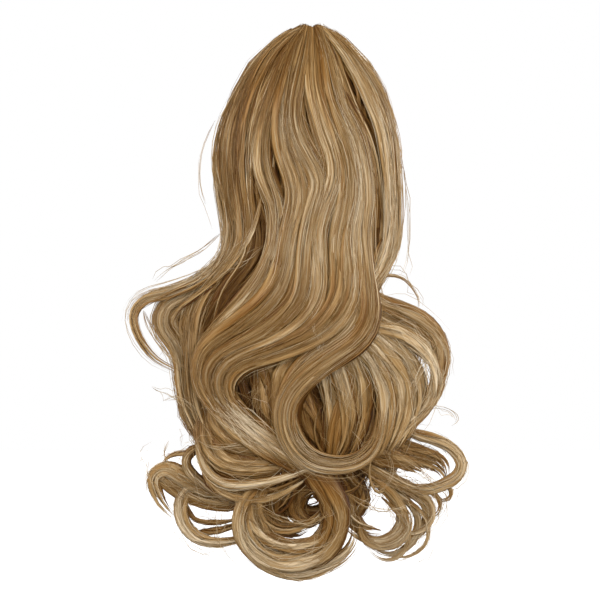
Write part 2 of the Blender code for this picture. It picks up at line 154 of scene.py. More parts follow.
rootForm = {"reach": 9.0, "drop": 0.62, "steps": 9, "outward": 1.6, "upward": 0.6}
bendWeight = 22  # rings stand closer by this many mm for each radian that a lock bends


def lockFrame(lock, spacing):
    # The centre line, side, normal and length along a lock: a spline through its route, laid on the
    # fall and lifted inwards. A rooted lock comes over the top from behind, along a parabola that
    # starts the reach further back and lower by drop times the reach.
    dense = splineOf(lock["route"])
    lift = spread(lock["lift"], np.linspace(0, 1, len(dense)))
    surface = roundSurface if lock.get("round") else frontSurface
    line, normal = surface(dense[:, 0], dense[:, 1], lift)
    normal[:, 2] = np.interp(line[:, 2], [0, 44], [0, 0.8])
    if lock.get("rooted", True):
        reach = rootForm["reach"]
        back = np.linspace(1, 0, rootForm["steps"])[:-1, None]
        over = line[0] + back * [0, reach, 0] - back**2 * [0, 0, reach * rootForm["drop"]]
        line = np.concatenate([over, line])
        normal = np.concatenate([normal[0] + back * [0, rootForm["outward"], rootForm["upward"]], normal])
    steps = np.linalg.norm(np.diff(line, axis=0), axis=1)
    tangent = unit(np.gradient(line, axis=0))
    bendRate = np.linalg.norm(np.gradient(tangent, axis=0), axis=1)
    weight = np.concatenate([[0], np.cumsum(steps + bendWeight * (bendRate[1:] + bendRate[:-1]) / 2)])
    rings = max(12, int(weight[-1] / spacing))
    pick = np.interp(np.linspace(0, weight[-1], rings), weight, np.arange(len(line)))
    line, tangent, normal = (np.stack([np.interp(pick, np.arange(len(line)), c) for c in values.T], axis=1)
                             for values in (line, tangent, normal))
    tangent = unit(tangent)
    side = unit(np.cross(tangent, unit(normal)))
    normal = unit(np.cross(side, tangent))
    length = lengthsOf(line)
    return {"line": line, "side": side, "normal": normal, "length": length, "share": length / length[-1]}


def fanWidth(share, z, rooted):
    # width along a lock: drawn together at the peak of the crown, full below, thinning to the tip
    if rooted:
        root = np.interp(z, [-30, 0, 25, 46], [1, 0.86, 0.6, 0.22])
    else:
        root = np.interp(share, [0, 0.14], [0.2, 1])
    return root * np.interp(share, [0, 0.62, 0.9, 1], [1, 1, 0.7, 0.42])


class Bundle:
    # collects closed tubes with the same number of section points into one mesh with its UV maps
    margin, endMargin = 0.1, 0.02  # empty shares at the sides and ends of a tube's column of the bake map

    def __init__(self, name, points):
        self.name, self.points = name, points
        self.tubes = []

    def add(self, rings, along, across, tone, layer):
        # rings (n, k, 3), along (n) and across (k + 1) in millimetres; tone (n) and layer from 0 to 1
        self.tubes.append((rings, along, across, tone, layer))

    def build(self, bands):
        # the tubes' bake map lies in this many bands, one above the other
        k = self.points
        count = len(self.tubes)
        perBand = math.ceil(count / bands)
        verts, faces, bake, strand, tones = [], [], [], [], []
        base = 0
        for index, (rings, along, across, tone, layer) in enumerate(self.tubes):
            n = len(rings)
            ends = np.stack([rings[0].mean(axis=0), rings[-1].mean(axis=0)])
            verts += [rings.reshape(-1, 3), ends]
            ring, point = np.meshgrid(np.arange(n - 1), np.arange(k), indexing="ij")
            nextPoint = (point + 1) % k
            quads = np.stack([ring * k + point, (ring + 1) * k + point,
                              (ring + 1) * k + nextPoint, ring * k + nextPoint], axis=-1).reshape(-1, 4)
            # at each end a fan of triangles about the middle, written as quads whose last corner repeats
            p, after, lastRing = np.arange(k), (np.arange(k) + 1) % k, (n - 1) * k
            root = np.stack([np.full(k, n * k), p, after, after], axis=1)
            tip = np.stack([np.full(k, n * k + 1), lastRing + after, lastRing + p, lastRing + p], axis=1)
            faces += [quads + base, root + base, tip + base]
            base += n * k + 2
            # a column of the bake map for each tube
            column, band = index % perBand, index // perBand
            left, width = (column + self.margin) / perBand, (1 - 2 * self.margin) / perBand
            low, height = (band + self.endMargin) / bands, (1 - 2 * self.endMargin) / bands
            wide = across / across[-1]
            down = (along - along[0]) / (along[-1] - along[0])
            corners = [(ring, point), (ring + 1, point), (ring + 1, point + 1), (ring, point + 1)]
            grow = self.endMargin + (1 - 2 * self.endMargin) * down
            for uv, u, v in ((bake, left + width * wide, low + height * grow), (strand, across, along)):
                spots = [np.stack([u[j], v[i]], axis=-1) for i, j in corners]
                uv.append(np.stack(spots, axis=-2).reshape(-1, 4, 2))
            for end, first in ((0, 0.0), (n - 1, 1.0)):
                rim = np.full(k, low + height * (self.endMargin if end == 0 else 1 - self.endMargin))
                near = np.array([left + width * wide[:-1], rim]).T
                far = np.array([left + width * wide[1:], rim]).T
                middle = left + width * (wide[:-1] + wide[1:]) / 2
                tipUv = np.array([middle, np.full(k, low + height * first)]).T
                order = (tipUv, near, far, far) if end == 0 else (tipUv, far, near, near)
                bake.append(np.stack(order, axis=1))
                flatUv = np.array([across[:-1], np.full(k, along[end])]).T
                strand.append(np.stack([flatUv] * 4, axis=1))
            marks = np.stack([tone, np.full(n, layer), np.linspace(0, 1, n), np.ones(n)], axis=1)
            tones.append(np.concatenate([np.repeat(marks, k, axis=0), marks[[0, -1]]]))
        verts = np.concatenate(verts) * mm
        faces, bake, strand = np.concatenate(faces), np.concatenate(bake), np.concatenate(strand)
        isTri = faces[:, 2] == faces[:, 3]
        keep = np.ones(faces.shape, bool)
        keep[isTri, 3] = False
        sizes = keep.sum(axis=1)
        mesh = bpy.data.meshes.new(self.name)
        mesh.vertices.add(len(verts))
        mesh.vertices.foreach_set("co", verts.astype(np.float32).ravel())
        mesh.loops.add(int(sizes.sum()))
        mesh.loops.foreach_set("vertex_index", faces[keep].astype(np.int32))
        mesh.polygons.add(len(faces))
        starts = np.concatenate([[0], np.cumsum(sizes)[:-1]])
        mesh.polygons.foreach_set("loop_start", starts.astype(np.int32))
        mesh.polygons.foreach_set("use_smooth", np.ones(len(faces), bool))
        mesh.update(calc_edges=True)
        for uvName, values in (("OFBake", bake), ("strandMm", strand)):
            layer = mesh.uv_layers.new(name=uvName)
            layer.data.foreach_set("uv", values[keep].astype(np.float32).ravel())
        tone = mesh.color_attributes.new("tone", "FLOAT_COLOR", "POINT")
        tone.data.foreach_set("color", np.concatenate(tones).astype(np.float32).ravel())
        print(f"{self.name}: {count} tubes, {sum(2 * k * len(tube[0]) for tube in self.tubes)} triangles")
        return linked(self.name, mesh)


def wander(rng, share, size, waves):
    # how a wisp drifts inside its lock: the sum of two slow sines with random phases
    total = 0
    for octave in (1, 2.3):
        total = total + np.sin(2 * math.pi * (waves * octave * share + rng.random())) / octave
    return size * total / 1.5


def guideOf(lock, form):
    # a lock's frame, shares, heights and relative widths, and half its width and depth along it
    guide = lockFrame(lock, form["spacing"])
    share, z = guide["share"], guide["line"][:, 2]
    widths = fanWidth(share, z, lock.get("rooted", True))
    return guide, share, z, widths, lock["width"] / 2 * widths, lock["thick"] / 2 * (0.4 + 0.6 * widths)


def lockTone(lock, share, z):
    # the lock's tone at these shares and the painted sheen of the waves at these heights
    return spread(np.atleast_1d(lock["tone"]), share) + atHeight("paintedSheen", z)


# spread over the lock's width and depth, random share of a place, fade at the tip, least width and
# thickness in mm, narrowing with the lock, swelling, tilt at the lock's edge in degrees, tone's scatter
wispShape = {"across": 0.82, "depth": 0.8, "scatter": 0.25, "fade": 0.30, "leastWidth": 1.1, "thinnest": 0.04,
             "steady": 0.35, "swell": 0.32, "edgeTilt": 18, "shades": 0.12}


def addWisps(bundle, lock, form, rng):
    # Flat ridged ribbons in the lock's oval section. A ring is the lock's line plus a across and b
    # outwards, and about that the half width w times u and the half thickness t times h of u, where u
    # runs from -1 to 1 over the front and back again.
    guide, share, z, widths, half, deep = guideOf(lock, form)
    count = round(lock["wisps"] * form["countScale"])
    front = np.linspace(-1, 1, form["ridges"] * 2 + 1)
    back = np.linspace(1, -1, 5)[1:-1]
    shape = wispShape
    for i in range(count):
        layer = i / max(1, count - 1)  # 0 at the back of the lock, 1 at its front
        place = ((i * goldenStep + rng.random() * shape["scatter"]) % 1.0) * 2 - 1
        a = place * shape["across"] + wander(rng, share, form["drift"], form["waves"] * 0.6)
        b = np.sqrt(np.clip(1 - a**2, 0, 1)) * (layer * 2 * shape["depth"] - shape["depth"])
        b = b + wander(rng, share, form["dive"], form["waves"])
        stop = 1 - form["ragged"] * rng.random() ** 1.5
        fade = np.clip((stop - share) / (shape["fade"] * (1 + 0.3 * rng.random())), 0, 1) ** 0.75
        own = max(shape["leastWidth"], lock["width"] * form["wispShare"] * (0.7 + 0.6 * rng.random())) / 2
        steady = shape["steady"] + (1 - shape["steady"]) * widths
        w = np.maximum(own * steady * fade * (1 + wander(rng, share, shape["swell"], form["waves"])), 0.05)
        t = np.maximum(w * form["flatness"], shape["thinnest"])
        last = max(6, int(np.searchsorted(share, stop)) + 1)
        tilt = np.radians(form["tilt"] * (rng.random() - 0.5) * 2 + shape["edgeTilt"] * a)
        s, n = guide["side"][:last], guide["normal"][:last]
        tilt = tilt[:last, None]
        side, normal = s * np.cos(tilt) - n * np.sin(tilt), n * np.cos(tilt) + s * np.sin(tilt)
        centre = guide["line"][:last] + s * (a * half)[:last, None] + n * (b * deep)[:last, None]
        crest = (np.arange(len(front)) % 2 - 0.5) * 2
        ridge = 1 + form["ridgeDepth"] * crest * (0.6 + 0.4 * rng.random(len(front)))
        u = np.concatenate([front, back])
        h = np.concatenate([np.sqrt(1 - front**2 * 0.96) * ridge, -0.8 * np.sqrt(1 - back**2)])
        rings = (centre[:, None] + side[:, None] * (w[:last, None] * u)[..., None]
                 + normal[:, None] * (t[:last, None] * h)[..., None])
        across = np.concatenate([[0], np.cumsum(np.abs(np.diff(np.append(u, u[0]))) + 0.05)]) * own
        offset = rng.random(2) * 400
        # painted shade: wisps toward the lock's edges are darker, so the lock looks rounded
        edge = form["edgeShade"] * (place**2 - 0.3)
        tone = 0.5 + lockTone(lock, share[:last], z[:last]) - edge + shape["shades"] * (rng.random() - 0.5)
        bundle.add(rings, guide["length"][:last] + offset[0], across + offset[1], np.clip(tone, 0, 1), layer)


# reach past the lock's edges, wandering, waves, share that starts further down, step of the map's
# coordinate around a strand, tone's scatter
strandShape = {"reach": 1.05, "wander": 0.14, "waves": 1.4, "late": 0.6, "around": 0.4, "scatter": 0.36}


def addStrands(bundle, lock, form, rng, count):
    # single hairs: three-sided tubes that follow the lock, stray from it and thin out at both ends
    guide, share, z, _, half, deep = guideOf(lock, form)
    corner = 2 * math.pi * np.arange(3) / 3
    shape = strandShape
    for _ in range(count):
        a = rng.random() * 2 * shape["reach"] - shape["reach"] + wander(rng, share, shape["wander"], 1.3)
        b = np.sqrt(np.clip(1.1 - a**2, 0.02, 1.1)) * (0.5 + 0.75 * rng.random())
        b = b + wander(rng, share, shape["wander"], 1.5)
        loose = form["loose"] * rng.random() ** 3
        sway = wander(rng, share, loose, shape["waves"]) * np.clip(share * 3, 0, 1)
        swayOut = wander(rng, share, loose * 0.6, 1.2) * np.clip(share * 3, 0, 1)
        first, last = 0, len(share)
        if rng.random() < shape["late"]:
            first = int(rng.random() * 0.35 * last)
        last = max(first + 8, int(last * (1 - form["ragged"] * rng.random())))
        part = slice(first, last)
        s, n = guide["side"][part], guide["normal"][part]
        centre = (guide["line"][part] + s * (a * half + sway)[part, None]
                  + n * (b * deep + np.abs(swayOut))[part, None])
        fromStart, toEnd = share[part] - share[first] + 0.004, share[last - 1] - share[part] + 0.004
        ends = np.clip(np.minimum(fromStart, toEnd) * 9, 0.15, 1)
        radius = form["radius"] * (0.7 + 0.6 * rng.random()) * ends
        rings = (centre[:, None] + radius[:, None, None]
                 * (s[:, None] * np.cos(corner)[:, None] + n[:, None] * np.sin(corner)[:, None]))
        offset = rng.random(2) * 400
        across = np.arange(4) * shape["around"] + offset[1]
        tone = 0.5 + lockTone(lock, share[part], z[part]) + shape["scatter"] * (rng.random() - 0.5)
        bundle.add(rings, guide["length"][part] + offset[0], across, np.clip(tone, 0, 1), 1.0)


# A lock: its greatest width and thickness, its count of wisps, how deep under the surface it lies, its
# tone, and its route: x,z for a point, x,z,radius,start,sweep for an arc. Depth and tone may be lists,
# whose values are spread evenly along it; the tone is in hundredths and above 0 lighter. Besides the
# hair's own tone it holds painted highlight where a lock turns to the light and painted shade where it
# turns away, lies deep or lines a gap. A swept lock starts at the crown's peak, a free one in the hair,
# and a stray one is a few single hairs.
def swept(width, thick, wisps, lift, tone, text):
    route = [tuple(float(value) for value in stop.split(",")) for stop in text.split()]
    tones = np.atleast_1d(tone) / 100
    return {"width": width, "thick": thick, "wisps": wisps, "lift": lift, "tone": tones, "route": route}


def free(*lock):
    return swept(*lock) | {"rooted": False}


def stray(strands, text):
    return free(4, 5, 1, [3, 3], 12, text) | {"strands": strands}


# Locks of the outer weft that sweep down the front, from left to right as the photo shows them.
# Their tones hold painted highlight and painted shade besides the hair's own tone.
outerLocks = {
    "leftLoop": swept(10, 7, 9, [0, 0, 4, 12], [16, 4, 2, 8, 20, 0, -10], """-4,42.5 -17,36 -28,26 -38,12
    -46,-2 -53,-16 -57,-32 -58,-48 -55,-64 -52,-80 -52,-94 -56,-107 -65,-117 -78,-124 -93,-129 -106,-133
    -113,-142 -112,-153 -106,-164 -97,-173 -86,-179 -78,-186"""),
    "leftWing": swept(20, 9, 13, [3, 3, 12, 14], [12, -14, -20, -8, 8, 0, 10], """-4,43 -20,32 -35,14 -44,-6
    -50,-28 -51,-50 -49,-72 -46,-92 -51,-108 -63,-121 -78,-131 -90,-139 -93,-149 -86,-161 -81,-175 -80,-190
    -76,-205 -70,-220 -66,-232"""),
    "wingFill": free(15, 8, 8, [10, 14, 15, 15], -12, """-36,-88 -40,-102 -52,-116 -66,-127 -81,-136 -91,-145
    -86,-158 -80,-172 -77,-190 -73,-208 -65,-224"""),
    "wingInside": free(18, 9, 9, [9, 10, 10, 10], -18, """-34,-94 -42,-110 -56,-124 -70,-136 -78,-148 -75,-164
    -71,-182 -69,-200 -62,-216"""),
    "leftFall": swept(14, 9, 11, [1, 1, 6, 8], [10, -20, -24, -8, 4, -10, 5], """-3.5,43.5 -18,32 -31,12
    -39,-10 -43,-34 -43,-58 -40,-80 -41,-98 -51,-113 -64,-127 -72,-141 -75,-157 -75,-172 -74,-187 -72,-202
    -66,-216 -58,-228"""),
    "leftDark": swept(16, 9, 12, [4, 7, 9, 9], [-5, -36, -38, -34], """-3,43.5 -13,30 -24,8 -32,-16 -36,-40
    -36,-62 -33,-82 -32,-99 -40,-114 -52,-128 -60,-142 -67,-157 -71,-172 -70,-188 -62,-200"""),
    "leftBright": swept(14, 9, 11, [0, 0, 3, 3], [2, -20, -10, 0, -2, -16, -38], """-2,43.5 -11,28 -19,6
    -26,-16 -29,-36 -27,-54 -21,-70 -19,-86 -21,-102 -27,-117 -38,-132 -51,-146 -62,-158 -68,-170 -65,-183
    -56,-194 -44,-204 -30,-214 -18,-225"""),
    "sweepHigh": swept(15, 9, 11, [0, 0, 0, 3], [5, 0, 2, 2, -8, -16, -30], """-1,43 -8,26 -13,4 -16,-18
    -14,-38 -9,-54 -7,-68 -10,-84 -13,-100 -16,-116 -24,-131 -38,-144 -53,-155 -65,-166 -69,-180 -65,-193
    -55,-205 -42,-216 -27,-227 -11,-238 6,-249"""),
    "sweepMiddle": swept(14, 9, 11, [0, 0, 0, 2], [0, -4, 0, -5, -20, -20, -30], """0,42.5 -3,24 -7,4 -9,-14
    -5,-32 2,-46 6,-58 3,-72 -1,-88 -3,-104 -4,-119 -8,-134 -19,-147 -35,-158 -52,-167 -62,-178 -61,-191
    -53,-203 -41,-214 -27,-225 -12,-236 2,-246"""),
    "sweepLow": swept(14, 9, 11, [0, 0, 0, 2], [-2, -4, 10, 5, -6, -12, -30], """2,42 2,26 2,8 5,-10 10,-28
    15,-44 15,-58 10,-73 6,-89 6,-104 7,-119 5,-133 -3,-146 -17,-157 -34,-165 -50,-173 -57,-184 -55,-195
    -47,-206 -36,-217 -22,-229 -8,-240"""),
    "sweepEdge": swept(14, 8, 11, [0, 0, -1, 2], [-8, -6, 4, -5, -14, -14, -30], """4,42.5 8,26 11,7 15,-13
    21,-32 25,-50 25,-66 22,-82 19,-98 19,-114 18,-129 12,-142 0,-154 -16,-162 -33,-169 -48,-177 -53,-188
    -50,-199 -42,-210 -31,-221 -18,-232"""),
    "sweepJoin": swept(12, 8, 10, [1, 1, -1, -1, 3], [6, 6, 12, 0, -12, -10], """5,43 12,27 17,9 22,-10 28,-30
    31,-50 31,-68 28,-86 28,-104 29,-120 27,-134 20,-147 8,-157 -8,-165 -25,-171 -40,-177 -48,-186 -48,-197
    -43,-207"""),
    "ringOuter": swept(15, 9, 12, [0, 0, -1, -2, 3], [2, 2, 5, 0, -15, 12, -10], """7,43.5 11,28 15,10 20,-8
    27,-22 32,-36 35,-52 36,-68 34,-86 34,-104 36,-120 38,-134 37,-147 30,-158 18,-167 5,-176 -6,-186 -14,-199
    -15,-214 -10,-227 1,-238 16,-242 31,-240 43,-231 48,-218 48,-206"""),
    "ringInner": swept(12, 9, 10, [2, 2, 2, 1], [5, 4, 8, 2, 0, 8, -10], """6,43.5 13,27 18,9 23,-10 28,-30
    31,-50 30,-68 27,-86 26,-104 28,-120 31,-134 29,-147 20,-158 7,-167 -4,-177 -11,-189 -13,-203 -9,-218
    0,-230 14,-236 28,-235 39,-227 44,-216 46,-204"""),
    # a dark lock a little under the surface: painted shade in the gap at the right of the crown
    "rightGap": swept(13, 8, 9, [3, 8, 9, 6], -42, """8,43.5 13,28 18,12 24,-2 31,-14 37,-27 41,-41 43,-55
    43,-70 42,-86 41,-102 40,-118 38,-133 33,-147 22,-160"""),
    "rimInner": swept(10, 8, 9, [1, 0, 2, 3], 10, """8,43 18,32 27,19 34,6 40,-7 45,-21 48,-36 50,-52 51,-68
    51,-84 49,-99 45,-112 40,-124 36,-136 30,-149 18,-161"""),
    "rightRim": swept(10, 9, 10, [0, 0, 2, 3], 0, """9,43 19,36 29,25 38,12 46,-3 51,-18 54,-34 55,-50 56,-66
    56,-84 54,-100 48,-113 42,-123 37,-133 33,-145 26,-156 12,-168 0,-180"""),
    # lighter in its middle as a painted highlight, darker toward its end as painted shade
    "bowlBright": free(18, 7, 13, [5, 0, 0, 4], [10, 34, 24, -20, -50], """-60,-180 -58,-193 -50,-205 -38,-216
    -24,-227 -9,-238 5,-248"""),
    # a narrow dark lock on top along the gap: painted shade standing for the gap
    "gapShade": free(4, 2, 4, [-1, -2, -1, 1], -46, """12,17 17,8 24,-3 31,-15 36,-27 40,-41 42,-55 43,-70
    41,-84"""),
    "bodyLeft": free(14, 8, 8, [17, 18, 18], -8, "-82,-170 -80,-186 -78,-201 -73,-216 -64,-230"),
    # narrow dark locks along the partings: painted shade
    "partLeft": swept(3.5, 2, 3, [-0.5, 0, 1], -35, "1,42.5 -1,34 -4,20 -6,4 -6,-12 -3,-26"),
    "partRight": swept(3, 2, 3, [-0.5, 0, 1], -36, "6,42.5 8,36 10,24 12,10 15,-4"),
    "crossLeft": free(5, 2, 4, [-1, -1.5, -1], 10, "-12,30 -18,14 -20,-2 -18,-20 -12,-36 -4,-52 2,-66 4,-82"),
    "crossRight": free(5, 2, 4, [-1, -1.5, -1], 6, "14,26 20,8 20,-10 15,-28 9,-44 6,-60 8,-78 12,-94"),
    "crossLow": free(4, 2, 4, [0, 0, 4, 8], 16, """-30,-66 -34,-84 -42,-100 -54,-114 -68,-126 -80,-138
    -82,-154"""),
    "paleStray": free(3, 2, 3, [-1, -2, -1], 30, "-4,-104 -1,-118 3,-132 5,-144 6,-156 6,-168 3,-180"),
}

# Locks of the middle weft: the bulge and the fan at the right, what shows inside the big ring, the
# bowl at the left and the large curl at the bottom.
# Their tones hold painted highlight and painted shade besides the hair's own tone; the locks deep in the ring
# and the curl are darkest.
middleLocks = {
    "bulgeBright": free(9, 6, 8, [4, -1, -1, 0], 24, """34,-149 46,-151 58,-154 69,-160 78,-169 83,-181
    82,-196"""),
    "bulgeRim": swept(10, 8, 10, [14, 10, 6, 8], [0, 14, -10, -5], """26,-108 36,-127 48,-136 62,-141 75,-148
    84,-159 86,-171 84,-184 80,-196 73,-207 64,-217 56,-226"""),
    "bulgeMiddle": swept(13, 8, 10, [12, 11, 9, 8], 10, """28,-120 42,-141 56,-148 69,-154 79,-163 84,-175
    84,-188 79,-200 71,-210"""),
    "bulgeLow": swept(9, 7, 8, [8, 6, 6, 6], 8, """30,-132 44,-151 58,-158 70,-163 80,-171 84,-182 81,-195
    73,-207 63,-216 56,-227"""),
    "fanOne": swept(14, 8, 9, [8, 6, 6, 8], [20, 15, 5, 0], """32,-146 47,-159 60,-170 68,-182 71,-195 69,-208
    63,-219 57,-229"""),
    "fanTwo": swept(14, 8, 10, [8, 7, 8, 10], [20, 12, 5, 0], """32,-152 45,-166 55,-178 60,-192 60,-207
    56,-220 50,-232"""),
    "fanThree": swept(13, 8, 9, [9, 9, 10, 12], [15, 10, 0, -5], """28,-158 41,-173 48,-188 50,-204 48,-219
    42,-233 32,-243"""),
    "fanFour": swept(12, 7, 9, [9, 12, 14, 14], [12, 0, -20, -20], """24,-164 32,-178 35,-194 34,-210 30,-225
    24,-238"""),
    "fanFive": swept(12, 7, 9, [9, 10, 12, 14], [20, 5, -20, -20], """16,-168 21,-182 25,-197 26,-212 23,-227
    16,-240"""),
    "fanSix": swept(10, 6, 7, [10, 14, 15, 15], [20, 10, -10, -20], """8,-172 12,-186 15,-200 16,-214 14,-228
    8,-240"""),
    "ringFloor": free(16, 8, 9, [24, 24, 24], -30, "-12,-214 -4,-224 8,-230 22,-231 36,-226 46,-216"),
    "ringBackRight": free(20, 7, 10, [20, 24, 24, 20], -30, "10,-172 13,-188 18,-204 22,-219 26,-232"),
    "joinRight": free(13, 8, 9, [22, 24, 27], -12, "24,-222 38,-229 52,-235 66,-240 76,-246"),
    "ringBack": free(18, 6, 8, [17, 20, 20, 18], -36, "-2,-176 -4,-190 0,-204 5,-218 12,-230"),
    "cavityPale": free(15, 6, 10, [11, 12, 12, 10], [-10, -12, -25, -45], """-24,-158 -28,-171 -28,-184
    -27,-197 -25,-209 -20,-221 -12,-233"""),
    "cavityMain": free(14, 8, 10, [8, 8, 7, 5], [-10, -12, -30, -45], """0,-158 -9,-167 -16,-178 -19,-190
    -19,-202 -17,-214 -10,-228 2,-238"""),
    # a dark lock deep in the cavity: painted shade in the cavity's corner
    "cavityDark": free(16, 6, 8, [17, 20, 18], -44, "-48,-166 -42,-176 -38,-188 -33,-200 -27,-212 -20,-224"),
    "bowlRim": free(6, 6, 6, [10, 2, 2, 2], 14, """-73,-214 -70,-230 -66,-242 -57,-250 -44,-252.5 -30,-251
    -15,-247 0,-241 12,-234"""),
    "bowlInside": free(16, 9, 10, [10, 8, 6, 6], -8, """-66,-205 -66,-222 -59,-234 -47,-240 -32,-241 -16,-238
    -4,-230"""),
    "bowlTop": free(12, 8, 8, [12, 8, 6, 4], -12, "-62,-198 -60,-212 -52,-222 -40,-227 -26,-230 -12,-234"),
    "bowlUnder": free(9, 7, 7, [12, 8, 8, 8], -4, "-68,-238 -60,-252 -46,-259 -30,-260 -14,-255 0,-247"),
    "bottomCurl": free(15, 9, 12, [6, 3, 3, 5], [-2, -12, -5, 12, 12, 5], """-10,-232 2,-243 12,-255 18,-269
    17,-283 9,-295 -5,-302 -19,-303 -31,-297 -39,-286 -41,-273 -36,-262"""),
    "bottomBand": free(10, 9, 11, [10, 5, 5, 12], [0, 8, 18, 20, 5], """-22,-246 -36,-257 -43,-270 -43,-285
    -35,-298 -21,-307 -4,-310 12,-306 25,-298 31,-286 28,-274"""),
    "bottomInside": free(12, 8, 8, [10, 9, 8, 8], -12, """-22,-246 -31,-256 -34,-269 -30,-281 -20,-289
    -8,-290"""),
    "bottomDepth": free(13, 8, 8, [18, 20, 20, 18], -30, """-6,-246 -16,-254 -22,-265 -20,-277 -11,-283
    0,-281"""),
    "bottomShade": free(14, 8, 8, [18, 22, 22, 16], -34, "14,-244 2,-251 -6,-260 -7,-271 0,-277 10,-272"),
    "bottomLow": free(9, 6, 9, [8, 6, 4, 4, 6], 0, """-36,-258 -37,-272 -31,-284 -20,-291 -6,-293 8,-289
    17,-279 20,-266"""),
    "bottomEdge": free(6, 5, 6, [10, 9, 8, 8], -8, """-30,-250 -33,-262 -29,-274 -20,-281 -8,-281 4,-275
    12,-265"""),
    "bottomFill": free(13, 8, 7, [22, 26, 26], -38, """16,-246 20,-258 16,-268 6,-273 -6,-272 -16,-266
    -20,-256"""),
}

# Locks of the inner weft that show from the front: the rings low at the left and at the right.
# Their tones hold painted shade besides the hair's own tone; the locks that lie deepest are darkest.
innerLocks = {
    "farLeftBody": free(11, 8, 11, [29, 31, 31, 31], 6, """-14,-238 -32,-250 -50,-258 -68,-256 -84,-249
    -95,-245 -101,-250 -100,-259 -96,-268 -89,-276"""),
    "farLeftLow": free(10, 8, 9, [31, 33, 33, 33], -5, """-20,-246 -38,-260 -54,-266 -70,-264 -84,-258
    -94,-252 -101,-249 -103,-256 -98,-266 -92,-273"""),
    "farLeftArch": free(4, 3, 4, [27, 29, 31], -10, "-52,-222 -66,-228 -76,-233 -86,-234 -94,-238 -98,-245"),
    "archFoot": free(6, 5, 6, [25, 25, 27, 29], -2, """-66,-228 -76,-232 -80,-239 -76,-248 -66,-256 -54,-264
    -40,-270"""),
    "lowLeftRing": free(8, 7, 9, [35, 31, 27, 27], 14, """-58,-250 -72,-253 -82,-261 -84,-273 -80,-284
    -71,-291 -59,-293 -46,-291 -34,-286"""),
    "lowLeftInside": free(3.5, 3, 4, [33, 31, 29], -18, "-80,-268 -76,-277 -66,-280 -54,-279 -42,-276"),
    "lowLeftSlit": free(4, 3, 4, [33, 31, 29], -14, "-72,-286 -62,-286 -52,-283 -42,-279"),
    "rightLoop": free(6.5, 6, 9, [25, 27, 27, 23], [20, 20, 15, 10, 10], """58,-214 66,-219 77,-223 88,-226.5
    97,-233 101,-241 98,-249 90,-254 79,-257.5 67,-256 54,-249 40,-241 26,-236"""),
    "rightLoopInside": free(8, 6, 7, [27, 29, 31], -14, "44,-224 56,-233 68,-237 79,-241 88,-247 91,-253"),
    "rightLoopFill": free(8, 6, 7, [29, 31, 33], -16, "40,-218 54,-225 67,-230 80,-234 90,-241 92,-249"),
    "rightUnder": free(9, 7, 9, [25, 27, 29, 29], 4, """26,-236 40,-243 54,-251 66,-257 76,-264 80,-273
    77,-283 70,-291 60,-297"""),
    "rightRing": free(5, 5, 6, [29, 27, 25], 14, """34,-244 50,-254 62,-262 71,-272 73,-284 66,-296 54,-301
    44,-297 39,-288"""),
    "rightRingInside": free(8, 6, 8, [25, 25, 25], 6, """38,-246 52,-257 60,-268 62,-280 55,-289 44,-291
    32,-287 22,-278"""),
    "rightDrop": free(11, 7, 8, [25, 27, 25], -20, "8,-240 18,-250 24,-262 28,-274 36,-283 48,-286"),
    "rightDropDark": free(12, 8, 8, [33, 35, 33], -32, "14,-240 26,-248 33,-257 34,-268 28,-276 20,-276"),
    "ringletOne": free(4, 4, 4, [27, 25, 23], 8, """50,-238 58,-250 66,-258 76,-262 82,-270 80,-280 72,-286
    62,-285 57,-277 60,-268"""),
    "ringletTwo": free(3.5, 3, 3, [29, 27, 25], -6, """44,-240 56,-249 66,-254 78,-258 86,-264 86,-272 79,-277
    71,-274"""),
    "ringletThree": free(3, 3, 3, [23, 21, 21], 14, """48,-262 60,-274 66,-286 64,-297 55,-304 45,-302
    38,-294"""),
    "ringletFour": free(3, 3, 3, [25, 23, 23], 12, "60,-262 72,-270 79,-281 78,-293 70,-301 60,-303 50,-299"),
    "ringletFive": free(5, 4, 5, [21, 19, 21], 10, "34,-276 36,-288 46,-295 58,-293 66,-284 66,-273 58,-266"),
    "paleHook": free(2, 2, 2, [17, 17, 19], 22, "16,-252 21,-264 28,-274 37,-280 47,-281"),
    "smallHook": free(3, 3, 3, [31, 31], -5, "80,-256 88,-255 94,-258 93,-264 87,-265 82,-262"),
    "ringletTop": free(2.2, 2, 2, [25, 27, 27], 10, """34,-128 42,-120 52,-117 62,-119 70,-127 73,-135
    71,-143"""),
}

